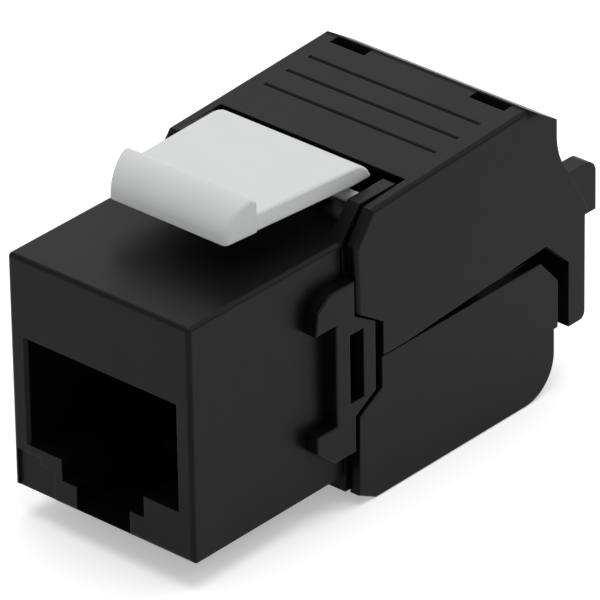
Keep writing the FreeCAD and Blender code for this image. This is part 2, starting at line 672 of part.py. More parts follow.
def contact_carrier():
    """Insert that holds the plug contacts in a comb above the port."""
    body = new_body("contact_carrier")
    wall_back = jack_depth - carrier_play
    wall_front = wall_back - carrier_wall
    profile = side_sketch(body, "profile")
    draw_outline(profile, [
        (carrier_front, carrier_shelf), (wall_front, carrier_shelf), (wall_front, carrier_low),
        (wall_back, carrier_low), (wall_back, carrier_high), (carrier_front, carrier_high)])
    pad(body, profile, port_width + carrier_side * 2, both=True)
    comb = front_sketch(body, "comb", wall_back)
    for place in contact_places:
        draw_outline(comb, rectangle(
            place - comb_slot / 2, place + comb_slot / 2,
            carrier_shelf - beyond, contact_top + comb_slot / 2))
    pocket(body, comb, wall_back - carrier_front - comb_bar, back=True)
    return body


def plug_contact(number, place):
    """Sprung contact strip: it runs forward over the port and turns back down into it."""
    body = new_body(f"contact_{number}")
    tail = board_back + board_play / 2
    route = side_sketch(body, "route")
    stops = [
        (tail, contact_top), (contact_bend, contact_top),
        (contact_bend - contact_lean, contact_top - contact_knee), (contact_reach, contact_tip)]
    for index, (start, finish) in enumerate(zip(stops, stops[1:])):
        ends = [Vector(y.value, z.value, 0) for y, z in (start, finish)]
        route.addGeometry(Part.LineSegment(ends[0], ends[1]), False)
        tie(route, index, 1, start)
        if index:
            route.addConstraint(Sketcher.Constraint("Coincident", index - 1, 2, index, 1))
    tie(route, len(stops) - 2, 2, stops[-1])
    section = front_sketch(body, "section", tail)
    draw_outline(section, rectangle(
        -contact_width / 2, contact_width / 2,
        contact_top - contact_thick / 2, contact_top + contact_thick / 2))
    pipe = body.newObject("PartDesign::AdditivePipe", f"{body.Label}_pipe")
    pipe.Profile = section
    pipe.Spine = (route, [f"Edge{index + 1}" for index in range(len(stops) - 1)])
    pipe.Transition = "Right corner"
    body.setExpression("Placement.Base.x", place.text)
    return body


def circuit_board():
    """Board that joins the plug contacts to the wire terminals."""
    body = new_body("circuit_board")
    outline = front_sketch(body, "outline", board_front)
    half_board = port_width / 2 + board_side
    draw_outline(outline, rectangle(-half_board, half_board, board_low, board_high))
    pad(body, outline, board_thick, back=True)
    holes = front_sketch(body, "holes", board_front)
    for place in contact_places:
        draw_circle(holes, (place, contact_top), contact_hole)
    tail_middle = fork_base + tail_thick / 2
    for column in columns:
        draw_circle(holes, (column, core_mid + tail_middle), fork_hole)
        draw_circle(holes, (column, core_mid - tail_middle), fork_hole)
    pocket(body, holes, board_thick)
    return body


def wire_terminal(number, place, turn):
    """Slit terminal that cuts into a wire, with a tail to the board."""
    body = new_body(f"wire_terminal_{number}")
    half_fork = (column_pitch - fork_apart) / 2
    half_slit = fork_slit / 2
    tip = fork_base + fork_height
    shoulder = tip - fork_shoulder
    mouth = tip - fork_mouth
    slit_end = tip - fork_slit_deep
    fork = front_sketch(body, "fork", fork_place - fork_thick / 2)
    draw_outline(fork, [
        (-half_fork, fork_base), (half_fork, fork_base), (half_fork, shoulder),
        (fork_point, tip), (half_slit, mouth), (half_slit, slit_end),
        (-half_slit, slit_end), (-half_slit, mouth), (-fork_point, tip),
        (-half_fork, shoulder)])
    pad(body, fork, fork_thick, back=True)
    tail = front_sketch(body, "tail", fork_place)
    draw_outline(tail, rectangle(-tail_width / 2, tail_width / 2, fork_base, fork_base + tail_thick))
    pad(body, tail, fork_place - board_front - board_play)
    body.Placement.Rotation = Rotation(Vector(0, 1, 0), turn)
    body.setExpression("Placement.Base.x", place.text)
    body.setExpression("Placement.Base.z", core_mid.text)
    return body


def snap_latch():
    """Latch with a raised lip, turning on two trunnions between the rails."""
    body = new_body("snap_latch")
    plate_front_top = latch_top + latch_rise
    plate_low = latch_top - latch_thick
    block_low = jack_height + block_gap
    lip_front = lip_back - lip_crest - lip_brow
    brow_high = lip_high - lip_brow_drop
    profile = side_sketch(body, "profile")
    draw_outline(profile, [
        (latch_back, block_low), (latch_back, latch_top), (lip_back, plate_front_top),
        (lip_back, lip_high - lip_slope), (lip_back - lip_crest, lip_high),
        (lip_front, brow_high), (lip_front - lip_face, lip_low),
        (lip_back, plate_front_top - latch_thick), (block_front, plate_low),
        (block_front, block_low)])
    shoulder_half = rail_inside + latch_over
    pad(body, profile, shoulder_half * 2, both=True)
    dress(body, "Fillet", "lip_front", lip_round,
          lambda edge: lies_at(edge, y=lip_front, z=brow_high))
    dress(body, "Fillet", "lip_foot", lip_foot,
          lambda edge: lies_at(edge, y=lip_front - lip_face, z=lip_low))

    waist_half = rail_inside - latch_beside
    front_half = waist_half - latch_taper
    lip_half = front_half - lip_inset
    trim = level_sketch(body, "trim", lip_high + beyond)
    for side in (1, -1):
        draw_outline(trim, [
            (lip_half * side, lip_front - beyond), (lip_half * side, lip_back),
            (front_half * side, lip_back), (waist_half * side, waist_place),
            (shoulder_half * side, shoulder_place), ((shoulder_half + beyond) * side, shoulder_place),
            ((shoulder_half + beyond) * side, lip_front - beyond)])
    pocket(body, trim, lip_high - jack_height + beyond)

    def rear_corner(edge):
        return lies_at(edge, shoulder_half, latch_back) or lies_at(edge, -shoulder_half, latch_back)

    def bend(edge):
        waist = lies_at(edge, waist_half, waist_place) or lies_at(edge, -waist_half, waist_place)
        right = lies_at(edge, shoulder_half, shoulder_place)
        left = lies_at(edge, -shoulder_half, shoulder_place)
        return waist or right or left

    dress(body, "Fillet", "side_bends", side_bend, bend)
    dress(body, "Fillet", "rear_corners", latch_corner, rear_corner)
    for name, side in SIDES:
        undercut = side_sketch(body, f"undercut_{name}", waist_half * side)
        draw_outline(undercut, rectangle(
            waist_place - beyond / 2, latch_back + beyond,
            jack_height - beyond, jack_height + rail_height + shoulder_gap))
        pocket(body, undercut, latch_beside + latch_over + beyond, back=side > 0)

    def upper_edge(edge):
        box = edge.BoundBox
        middle = edge.valueAt((edge.FirstParameter + edge.LastParameter) / 2)
        rim = abs(middle.x) > front_half.value - TOLERANCE or lies_at(edge, y=latch_back)
        behind_lip = box.YMin > lip_back.value - TOLERANCE
        return rim and behind_lip and box.ZMin > latch_top.value - TOLERANCE

    def lip_end(edge):
        on_end = lies_at(edge, lip_half) or lies_at(edge, -lip_half)
        box = edge.BoundBox
        return on_end and box.ZMin > lip_low.value + TOLERANCE and box.YMax < lip_back.value

    dress(body, "Fillet", "upper_edges", latch_edge, upper_edge)
    dress(body, "Fillet", "lip_ends", lip_edge, lip_end)
    for name, side in SIDES:
        pin = side_sketch(body, f"trunnion_{name}", (waist_half - beyond) * side)
        draw_circle(pin, (latch_pivot, latch_axis_high), latch_pin)
        pad(body, pin, trunnion_reach - waist_half + beyond, back=side < 0)
    return body


def hinge_bores(body, height):
    """Blind bores for the hinge pins, in the inner sides of both arms."""
    for name, side in SIDES:
        bore = side_sketch(body, f"bore_{name}", cover_inside * side)
        draw_circle(bore, (hinge_place, height), hinge_pin + hinge_play * 2)
        pocket(body, bore, hinge_reach - cover_inside + pin_room, back=side > 0)


def wire_pressers(body, root, tip):
    """Ribs that push each wire down into its slot, with a gap for the terminal."""
    gap_front = fork_place - presser_gap / 2
    gap_back = fork_place + presser_gap / 2
    for index, column in enumerate(columns):
        presser = side_sketch(body, f"presser_{index + 1}", column)
        draw_outline(presser, rectangle(presser_front, gap_front, tip, root))
        draw_outline(presser, rectangle(gap_back, presser_back, tip, root))
        pad(body, presser, presser_width, both=True)


def upper_cover():
    """Upper cover: arms, notched top, cheeks, rear legs and tabs."""
    body = new_body("upper_cover")
    edge_low = parting + parting_gap / 2
    bend_high = ear_high + bend_rise
    outline = side_sketch(body, "outline")
    draw_outline(outline, [
        (top_front, top_high), (upper_front - parting_gap, nose_high), (upper_front, upper_arm_low),
        (upper_step, upper_step_high), (upper_step, edge_low), (parting_flat, edge_low),
        (apex_place, apex_high), (leg_front, leg_shoulder), (leg_front, leg_low),
        (leg_back, leg_low), (leg_back, ear_low), (leg_back + ear_out, ear_low + ear_out),
        (leg_back + ear_face, ear_low + ear_face_high), (ear_place, ear_high),
        (rear_place, bend_high), (rear_place, rear_high), (top_back, top_at(top_back))])
    pad(body, outline, half_outer * 2, both=True)
    dress(body, "Fillet", "ear_curve", least(bend_round, bend_rise * bend_limit),
          lambda edge: lies_at(edge, y=rear_place, z=bend_high))
    dress(body, "Fillet", "leg_foot", leg_round,
          lambda edge: lies_at(edge, y=leg_back, z=leg_low))

    def outer_edge(edge):
        box = edge.BoundBox
        on_side = lies_at(edge, half_outer) or lies_at(edge, -half_outer)
        on_top = box.ZMin > top_high.value - TOLERANCE
        in_front = box.YMax < top_front.value + TOLERANCE and box.ZMin > upper_arm_low.value - TOLERANCE
        return on_side and (on_top or in_front)

    dress(body, "Fillet", "side_edges", cover_edge, outer_edge)

    slope_end = notch_back + notch_slope
    wall_front = rear_place - rear_plate
    hollow = side_sketch(body, "hollow")
    draw_outline(hollow, [
        (jack_depth - beyond, leg_low - beyond), (leg_front, leg_low - beyond),
        (leg_front, ear_low + cover_plate), (wall_front, ear_high + cover_plate),
        (wall_front, rear_high + rear_under), (top_back, top_at(top_back) - cover_plate),
        (slope_end, top_at(slope_end) - cover_plate), (notch_back, top_at(notch_back) - notch_edge),
        (notch_back, lip_high), (jack_depth - beyond, lip_high)])
    pocket(body, hollow, cover_inside * 2, both=True)

    mouth = front_sketch(body, "cable_mouth", leg_front - beyond)
    draw_outline(mouth, rectangle(-cable_mouth / 2, cable_mouth / 2, leg_low - beyond, cable_height))
    pocket(body, mouth, leg_back - leg_front + beyond * 2)
    crown = front_sketch(body, "cable_crown", leg_front - beyond)
    draw_circle(crown, (0, cable_height), cable_mouth)
    pocket(body, crown, leg_back - leg_front + beyond * 2)

    knob_inner = half_outer - knob_out - knob_width
    for name, side in SIDES:
        knob = side_sketch(body, f"knob_{name}", knob_inner * side)
        draw_outline(knob, rectangle(leg_back - knob_root, knob_back, knob_low, knob_high))
        pad(body, knob, knob_width, back=side < 0)
    dress(body, "Fillet", "knob_tops", knob_round,
          lambda edge: lies_at(edge, y=knob_back, z=knob_high))

    window_back = top_back - window_rim
    window_front = window_back - window_long
    grooves = side_sketch(body, "grooves")
    for index in range(groove_count):
        middle = window_front - groove_pitch * (index + 1)
        near = middle - groove_wide / 2
        far = middle + groove_wide / 2
        draw_outline(grooves, [
            (near, top_at(near)), (middle, top_at(middle) - groove_deep),
            (far, top_at(far)), (middle, top_at(middle) + beyond)])
    pocket(body, grooves, (half_outer - groove_inset) * 2, both=True)
    windows = level_sketch(body, "windows", top_at(top_back) + beyond)
    window_outer = half_outer - window_inset
    for side in (1, -1):
        draw_outline(windows, rectangle(
            (window_outer - window_wide) * side, window_outer * side, window_front, window_back))
    pocket(body, windows, cover_plate + beyond * 2)
    hinge_bores(body, hinge_high)
    wire_pressers(body, top_at(presser_front) - cover_plate / 2, core_mid + presser_tip)
    return body


def lower_cover():
    """Lower cover: arms, floor plate, cheeks and rear wall."""
    body = new_body("lower_cover")
    edge_high = parting - parting_gap / 2
    heel_place = lower_back - lower_heel_step
    outline = side_sketch(body, "outline")
    draw_outline(outline, [
        (lower_front, lower_arm_high), (lower_step, lower_step_low), (lower_step, edge_high),
        (lower_peak, edge_high), (lower_back, lower_shoulder), (lower_back, lower_heel),
        (heel_place, lower_heel), (heel_place, lower_bottom),
        (lower_chin_back, lower_bottom), (lower_front - parting_gap, lower_chin)])
    pad(body, outline, half_outer * 2, both=True)
    dress(body, "Fillet", "heel", lower_round,
          lambda edge: lies_at(edge, y=heel_place, z=lower_bottom))

    def outer_edge(edge):
        box = edge.BoundBox
        on_side = lies_at(edge, half_outer) or lies_at(edge, -half_outer)
        below_heel = box.ZMax < lower_heel.value - TOLERANCE
        return on_side and below_heel

    dress(body, "Fillet", "side_edges", lower_edge, outer_edge)
    wall_front = lower_back - rear_plate
    heel_front = wall_front - lower_heel_step
    floor_top = lower_bottom + cover_plate
    plate_front = flange_back + lower_notch
    hollow = side_sketch(body, "hollow")
    draw_outline(hollow, [
        (jack_depth - beyond, lower_bottom - beyond), (plate_front, lower_bottom - beyond),
        (plate_front, floor_top), (heel_front - lower_inner, floor_top),
        (heel_front, floor_top + lower_inner), (heel_front, lower_heel),
        (wall_front, lower_heel + lower_heel_step), (wall_front, edge_high + beyond),
        (jack_depth - beyond, edge_high + beyond)])
    pocket(body, hollow, cover_inside * 2, both=True)
    mouth = front_sketch(body, "cable_mouth", wall_front - beyond)
    draw_circle(mouth, (0, cable_height), cable_mouth)
    pocket(body, mouth, rear_plate + beyond * 2)
    hinge_bores(body, hinge_low)
    wire_pressers(body, lower_bottom + cover_plate / 2, core_mid - presser_tip)
    return body


pieces = [front_housing(), terminal_housing(), contact_carrier(), circuit_board()]
for number, place in enumerate(contact_places, 1):
    pieces.append(plug_contact(number, place))
for number, place in enumerate(columns, 1):
    pieces.append(wire_terminal(number, place, 0))
    pieces.append(wire_terminal(number + COLUMNS, place, HALF_TURN))
pieces.append(snap_latch())
pieces.append(upper_cover())
pieces.append(lower_cover())
doc.recompute()

for item in doc.Objects:
    if "Invalid" in item.State or "Error" in item.State:
        raise RuntimeError(f"{item.Name} failed: {item.State}")
for piece in pieces:
    if piece.Shape.isNull() or not piece.Shape.isValid():
        raise RuntimeError(f"{piece.Label} has no valid shape")

os.makedirs("parts", exist_ok=True)
for piece in pieces:
    piece.Shape.exportStep(f"parts/{piece.Label}.step")
    print(piece.Label, len(piece.Shape.Solids), round(piece.Shape.Volume, 3))
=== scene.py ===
import math

import bmesh
import bpy
from mathutils import Matrix, Vector


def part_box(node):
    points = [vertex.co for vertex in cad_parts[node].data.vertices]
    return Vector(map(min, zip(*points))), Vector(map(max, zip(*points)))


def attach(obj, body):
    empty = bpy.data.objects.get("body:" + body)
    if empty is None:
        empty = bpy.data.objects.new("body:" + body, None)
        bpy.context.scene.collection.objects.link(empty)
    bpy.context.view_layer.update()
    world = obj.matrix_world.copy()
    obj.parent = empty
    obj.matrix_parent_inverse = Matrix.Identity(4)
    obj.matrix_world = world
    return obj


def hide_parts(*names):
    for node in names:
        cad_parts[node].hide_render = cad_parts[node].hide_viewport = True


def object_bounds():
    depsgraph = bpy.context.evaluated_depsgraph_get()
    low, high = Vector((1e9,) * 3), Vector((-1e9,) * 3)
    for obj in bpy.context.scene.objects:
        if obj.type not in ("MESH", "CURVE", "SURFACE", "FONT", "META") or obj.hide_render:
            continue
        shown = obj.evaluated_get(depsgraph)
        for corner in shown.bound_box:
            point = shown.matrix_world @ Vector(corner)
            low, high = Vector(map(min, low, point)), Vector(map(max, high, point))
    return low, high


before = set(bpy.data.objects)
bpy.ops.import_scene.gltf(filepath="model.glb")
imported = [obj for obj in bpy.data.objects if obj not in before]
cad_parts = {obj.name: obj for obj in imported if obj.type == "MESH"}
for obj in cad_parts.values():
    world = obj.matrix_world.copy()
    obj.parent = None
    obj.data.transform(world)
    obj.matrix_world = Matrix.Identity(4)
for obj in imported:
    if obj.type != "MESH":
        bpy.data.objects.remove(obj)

# Keystone jack: black moulded housing and covers, pale grey latch, gold contacts.
# X is across, Y runs from the port face to the rear, Z is up. Lengths in metres.

MM = 0.001
UP = (0.0, 0.0, 1.0)
REARWARD = (0.0, 1.0, 0.0)
cad_low, cad_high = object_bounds()

# Camera, worked out from the photograph
PICTURE_SIZE = 600
FOCAL_PIXELS = 7739.25
SENSOR_WIDTH = 36.0
VIEW_AZIMUTH = math.radians(41.88)
VIEW_ELEVATION = math.radians(29.65)
VIEW_ROLL = math.radians(-0.95)
VIEW_DISTANCE = 467.24 * MM
VIEW_TARGET = Vector((0.0, 15.0, 8.0)) * MM
VIEW_RIGHT = 1.89 * MM
VIEW_UP = 0.72 * MM
NEAREST_SEEN = 0.01
FARTHEST_SEEN = 20.0

# Surroundings; each softbox has its place, its side length and its power in watts
WHITE = (1.0, 1.0, 1.0, 1.0)
SKY_LEVEL = 0.5
WHITE_LEVEL = 1.0
FLOOR_RADIUS = 3.0
FLOOR_SIDES = 96
FLOOR_TONE = 0.9
FLOOR_ROUGHNESS = 0.9
FLOOR_GLOW = 0.36
SOFTBOXES = {
    "softbox_above": ((0.0, 0.05, 0.6), 0.6, 2.6),
    "softbox_rear": ((0.25, 0.36, 0.3), 0.12, 0.22),
    "softbox_left": ((-0.29, 0.34, 0.27), 0.3, 0.11)}

# Latch plate, measured in the photograph; its rear end is the upper part of a barrel
PLATE_REAR_HALF = 5.65 * MM
PLATE_FRONT_HALF = 5.15 * MM
PLATE_TOP = 19.22 * MM
PLATE_LOW = 17.97 * MM
PLATE_RISE = 0.2 * MM
PLATE_EDGE = 0.2 * MM
BARREL_RADIUS = 1.75 * MM
BARREL_PLACE = 16.5 * MM
BARREL_SIDES = 28

# Latch ridge, the raised lip that ends the plate in front
RIDGE_BACK = 8.4 * MM
RIDGE_CREST = 8.1 * MM
RIDGE_FRONT = 6.36 * MM
RIDGE_HIGH = 20.45 * MM
RIDGE_LOW = 17.95 * MM
RIDGE_SLOPE = 0.15 * MM
RIDGE_FLOOR_RISE = PLATE_LOW + PLATE_RISE - RIDGE_LOW
RIDGE_EDGE = 0.14 * MM
FACE_LEAN = 0.18 * MM
FACE_FOOT = RIDGE_FRONT - FACE_LEAN
BROW_DROP = 0.34 * MM
BROW_HIGH = RIDGE_HIGH - BROW_DROP
BROW_ROUND = 1.72 * MM
BROW_STEPS = 14
END_BEVEL = 0.5 * MM
END_ROUND = 0.27 * MM
END_STEPS = 6

# Pivot block and pins under the rear end of the plate
PIVOT_PLACE = 16.7 * MM
PIVOT_HIGH = 17.1 * MM
PIN_RADIUS = 0.4 * MM
PIN_SIDES = 32
BLOCK_HALF = 3.2 * MM
BLOCK_FRONT = 16.0 * MM
BLOCK_BACK = 17.4 * MM
BLOCK_LOW = 16.3 * MM

# Joining and rounding of the latch's pieces
LAP = 0.1 * MM
WELD = 0.0001 * MM
SAME_PLACE = 0.01 * MM
EDGE_STEPS = 4
PLATE_SHARPEST = math.radians(25)
RIDGE_SHARPEST = math.radians(42)
SMOOTH_BELOW = math.radians(30)

# Noise: the range that its values mostly keep to, and the fineness of its lumps
NOISE_LOW = 0.3
NOISE_HIGH = 0.7
NOISE_DETAIL = 2.0
GRAIN_DETAIL = 3.0

# Moulded plastics
CLOUD_SIZE = 2.5 * MM
GRAIN_SIZE = 0.09 * MM
SHEEN_SWING = 0.06
BLACK_TONE = (0.0026, 0.0026, 0.0029)
BLACK_VARIATION = 0.25
BLACK_GLOSS = 0.1
BLACK_ROUGHNESS = 0.34
BLACK_GRAIN = 0.006 * MM
CARRIER_ROUGHNESS = 0.5
CARRIER_GRAIN = 0.004 * MM
GREY_TONE = (0.558, 0.565, 0.566)
GREY_VARIATION = 0.012
GREY_GLOSS = 0.4
GREY_ROUGHNESS = 0.45
GREY_GRAIN = 0.003 * MM

# Plated metals; each wire has one contact and one terminal
WIRES = 8
GOLD_TONE = (0.78, 0.56, 0.2)
GOLD_ROUGHNESS = 0.22
TIN_TONE = (0.66, 0.65, 0.61)
TIN_ROUGHNESS = 0.3
METAL_SWING = 0.12
MARK_SIZE = 0.05 * MM
MARK_SHADE = 0.85
MARK_DEPTH = 0.002 * MM

# Board laminate
WEAVE_SIZE = 0.4 * MM
WEAVE_DEPTH = 0.004 * MM
WEAVE_DARK = (0.012, 0.085, 0.035)
WEAVE_LIGHT = (0.02, 0.13, 0.055)
LACQUER_SMOOTH = 0.25
LACQUER_ROUGH = 0.38

# Broken edges in the finishes, and the duller finish on the rear edge of the upper cover's roof
PLASTIC_EDGE = 0.09 * MM
FINE_EDGE = 0.03 * MM
EDGE_SAMPLES = 6
ROOF_END_PLACE = 29.3 * MM
ROOF_END_LOW = 17.8 * MM
ROOF_END_BLEND = 0.3 * MM
ROOF_END_DULLNESS = 0.5


def new_material(name):
    """Starts a node material and hands back its tree and its shader."""
    material = bpy.data.materials.new(name)
    material.use_nodes = True
    tree = material.node_tree
    return material, tree, tree.nodes["Principled BSDF"]


def mesh_place(tree):
    """Place on the mesh, in metres."""
    return tree.nodes.new("ShaderNodeTexCoord").outputs["Object"]


def combine(tree, operation, first, second):
    """Works out one value from two others."""
    node = tree.nodes.new("ShaderNodeMath")
    node.operation = operation
    tree.links.new(first, node.inputs[0])
    tree.links.new(second, node.inputs[1])
    return node.outputs[0]


def ramp(tree, value, low, high, start=0.0, end=1.0):
    """Value that runs from low to high while another one runs from start to end."""
    node = tree.nodes.new("ShaderNodeMapRange")
    node.inputs["From Min"].default_value = start
    node.inputs["From Max"].default_value = end
    node.inputs["To Min"].default_value = low
    node.inputs["To Max"].default_value = high
    tree.links.new(value, node.inputs["Value"])
    return node.outputs["Result"]


def noise(tree, feature_size, detail=NOISE_DETAIL):
    """Noise whose lumps are about as large as feature_size."""
    node = tree.nodes.new("ShaderNodeTexNoise")
    node.inputs["Scale"].default_value = 1.0 / feature_size
    node.inputs["Detail"].default_value = detail
    tree.links.new(mesh_place(tree), node.inputs["Vector"])
    return node.outputs["Fac"]


def spread(tree, value, low, high):
    """Stretches a noise value to run from low to high."""
    return ramp(tree, value, low, high, NOISE_LOW, NOISE_HIGH)


def tint(tree, value, dark, light):
    """Blends two colours by a value."""
    node = tree.nodes.new("ShaderNodeMix")
    node.data_type = "RGBA"
    node.inputs["A"].default_value = (*dark, 1.0)
    node.inputs["B"].default_value = (*light, 1.0)
    tree.links.new(value, node.inputs["Factor"])
    return node.outputs["Result"]


def beyond(tree, axis, start):
    """Value that rises from 0 to 1 over a short way past a place on an axis."""
    place = tree.nodes.new("ShaderNodeSeparateXYZ")
    tree.links.new(mesh_place(tree), place.inputs[0])
    return ramp(tree, place.outputs[axis], 0.0, 1.0, start, start + ROOF_END_BLEND)


def at_roof_end(tree, elsewhere, there):
    """Value that is different on the rounded rear edge of the upper cover's roof."""
    rear = beyond(tree, "Y", ROOF_END_PLACE)
    top = beyond(tree, "Z", ROOF_END_LOW)
    return ramp(tree, combine(tree, "MULTIPLY", rear, top), elsewhere, there)


def relief(tree, shader, value, depth, edge):
    """Fine relief on a surface whose sharp edges are slightly broken."""
    broken = tree.nodes.new("ShaderNodeBevel")
    broken.samples = EDGE_SAMPLES
    tree.links.new(at_roof_end(tree, edge, 0.0), broken.inputs["Radius"])
    bump = tree.nodes.new("ShaderNodeBump")
    bump.inputs["Distance"].default_value = depth
    tree.links.new(value, bump.inputs["Height"])
    tree.links.new(broken.outputs["Normal"], bump.inputs["Normal"])
    tree.links.new(bump.outputs["Normal"], shader.inputs["Normal"])


def moulded_plastic(name, tone, variation, gloss, roughness, grain_depth):
    """Moulded plastic with a fine spark-eroded grain and slightly uneven sheen."""
    material, tree, shader = new_material(name)
    grain = noise(tree, GRAIN_SIZE, GRAIN_DETAIL)
    cloud = spread(tree, noise(tree, CLOUD_SIZE), 0.0, 1.0)
    dark = [part * (1.0 - variation) for part in tone]
    light = [part * (1.0 + variation) for part in tone]
    tree.links.new(tint(tree, cloud, dark, light), shader.inputs["Base Color"])
    sheen = combine(
        tree, "ADD",
        spread(tree, grain, roughness - SHEEN_SWING, roughness + SHEEN_SWING),
        at_roof_end(tree, 0.0, ROOF_END_DULLNESS))
    tree.links.new(sheen, shader.inputs["Roughness"])
    shader.inputs["Specular IOR Level"].default_value = gloss
    relief(tree, shader, grain, grain_depth, PLASTIC_EDGE)
    return material


def plated_metal(name, tone, roughness):
    """Plated contact metal with faint drawing marks."""
    material, tree, shader = new_material(name)
    mark = noise(tree, MARK_SIZE)
    dark = [part * MARK_SHADE for part in tone]
    tree.links.new(tint(tree, mark, dark, tone), shader.inputs["Base Color"])
    sheen = spread(tree, mark, roughness, roughness + METAL_SWING)
    tree.links.new(sheen, shader.inputs["Roughness"])
    shader.inputs["Metallic"].default_value = 1.0
    relief(tree, shader, mark, MARK_DEPTH, FINE_EDGE)
    return material


def board_laminate(name):
    """Green lacquered laminate with a fine weave under the lacquer."""
    material, tree, shader = new_material(name)
    weave = noise(tree, WEAVE_SIZE)
    tree.links.new(tint(tree, weave, WEAVE_DARK, WEAVE_LIGHT), shader.inputs["Base Color"])
    sheen = spread(tree, weave, LACQUER_SMOOTH, LACQUER_ROUGH)
    tree.links.new(sheen, shader.inputs["Roughness"])
    relief(tree, shader, weave, WEAVE_DEPTH, FINE_EDGE)
    return material


def dress_nodes():
    """Gives every CAD node its finish, and hands back the latch's."""
    black = moulded_plastic(
        "black_plastic", BLACK_TONE, BLACK_VARIATION, BLACK_GLOSS, BLACK_ROUGHNESS, BLACK_GRAIN)
    grey = moulded_plastic(
        "grey_plastic", GREY_TONE, GREY_VARIATION, GREY_GLOSS, GREY_ROUGHNESS, GREY_GRAIN)
    inner = moulded_plastic(
        "carrier_plastic", BLACK_TONE, BLACK_VARIATION, BLACK_GLOSS, CARRIER_ROUGHNESS,
        CARRIER_GRAIN)
    gold = plated_metal("contact_metal", GOLD_TONE, GOLD_ROUGHNESS)
    tin = plated_metal("terminal_metal", TIN_TONE, TIN_ROUGHNESS)
    finishes = {
        "front_housing": black, "terminal_housing": black,
        "upper_cover": black, "lower_cover": black,
        "contact_carrier": inner, "snap_latch": grey, "circuit_board": board_laminate("board")}
    for number in range(1, WIRES + 1):
        finishes[f"contact_{number}"] = gold
        finishes[f"wire_terminal_{number}"] = tin
    for name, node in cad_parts.items():
        node.data.materials.clear()
        node.data.materials.append(finishes[name])
    return grey


def near(first, second):
    """True where two lengths are as good as the same."""
    return abs(first - second) < SAME_PLACE


def pick(kind, test):
    """Selects the corners, edges or faces in edit mode whose middle point passes the test."""
    bpy.ops.mesh.select_mode(type=kind)
    bpy.ops.mesh.select_all(action="DESELECT")
    mesh = bpy.context.object.data
    shape = bmesh.from_edit_mesh(mesh)
    parts = {"VERT": shape.verts, "EDGE": shape.edges, "FACE": shape.faces}[kind]
    for part in parts:
        corners = [part] if kind == "VERT" else part.verts
        middle = sum((corner.co for corner in corners), Vector()) / len(corners)
        if test(middle):
            part.select_set(True)
    shape.select_flush_mode()
    bmesh.update_edit_mesh(mesh)


def shift(place, high, move):
    """Moves the corners that lie at one place along the jack and at one height."""
    pick("VERT", lambda middle: near(middle.y, place) and near(middle.z, high))
    bpy.ops.transform.translate(value=move)


def cut_away(place, direction):
    """Cuts the piece in edit mode by a plane, drops what lies behind it and closes the cut."""
    bpy.ops.mesh.select_all(action="SELECT")
    bpy.ops.mesh.bisect(
        plane_co=place, plane_no=direction, use_fill=True, clear_inner=True, threshold=WELD)


def settle(piece, name):
    """Names a new primitive and puts its place, turn and size into its mesh."""
    piece.name = name
    bpy.ops.object.transform_apply(location=True, rotation=True, scale=True)
    return piece


def add_block(name, low, high):
    """Plain block between two corners."""
    bpy.ops.object.select_all(action="DESELECT")
    middle = [(first + second) / 2 for first, second in zip(low, high)]
    span = [second - first for first, second in zip(low, high)]
    bpy.ops.mesh.primitive_cube_add(size=1.0, location=middle, scale=span)
    return settle(bpy.context.object, name)


def add_bar(name, radius, half, place, high, sides):
    """Round bar across the jack."""
    bpy.ops.object.select_all(action="DESELECT")
    bpy.ops.mesh.primitive_cylinder_add(
        vertices=sides, radius=radius, depth=half * 2, rotation=(0.0, math.pi / 2, 0.0),
        location=(0.0, place, high))
    return settle(bpy.context.object, name)


def break_edges(piece, width, sharpest, clamp):
    """Rounds the edges of a piece where it turns by more than an angle."""
    rounding = piece.modifiers.new("edges", "BEVEL")
    rounding.width = width
    rounding.segments = EDGE_STEPS
    rounding.limit_method = "ANGLE"
    rounding.angle_limit = sharpest
    rounding.use_clamp_overlap = clamp
    bpy.ops.object.modifier_apply(modifier=rounding.name)


def fuse(piece, other):
    """Adds another piece to this one and takes the other away."""
    union = piece.modifiers.new("union", "BOOLEAN")
    union.operation = "UNION"
    union.solver = "EXACT"
    union.object = other
    bpy.ops.object.select_all(action="DESELECT")
    piece.select_set(True)
    bpy.context.view_layer.objects.active = piece
    bpy.ops.object.modifier_apply(modifier=union.name)
    bpy.data.objects.remove(other)


def lever_plate():
    """Plate with the barrel-shaped rear end, narrower and a little higher towards the ridge."""
    plate = add_bar(
        "plate", BARREL_RADIUS, PLATE_REAR_HALF, BARREL_PLACE, PLATE_TOP - BARREL_RADIUS,
        BARREL_SIDES)
    reach = BARREL_PLACE - RIDGE_BACK + LAP
    share = reach / (reach - LAP)
    taper = 1.0 - (PLATE_REAR_HALF - PLATE_FRONT_HALF) * share / PLATE_REAR_HALF
    bpy.ops.object.mode_set(mode="EDIT")
    cut_away((0.0, 0.0, PLATE_LOW), UP)
    cut_away((0.0, BARREL_PLACE, 0.0), REARWARD)
    pick("FACE", lambda middle: near(middle.y, BARREL_PLACE))
    bpy.ops.mesh.extrude_region_move(
        TRANSFORM_OT_translate={"value": (0.0, -reach, PLATE_RISE * share)})
    bpy.ops.transform.resize(value=(taper, 1.0, 1.0), center_override=(0.0, 0.0, 0.0))
    bpy.ops.object.mode_set(mode="OBJECT")
    break_edges(plate, PLATE_EDGE, PLATE_SHARPEST, clamp=False)
    return plate


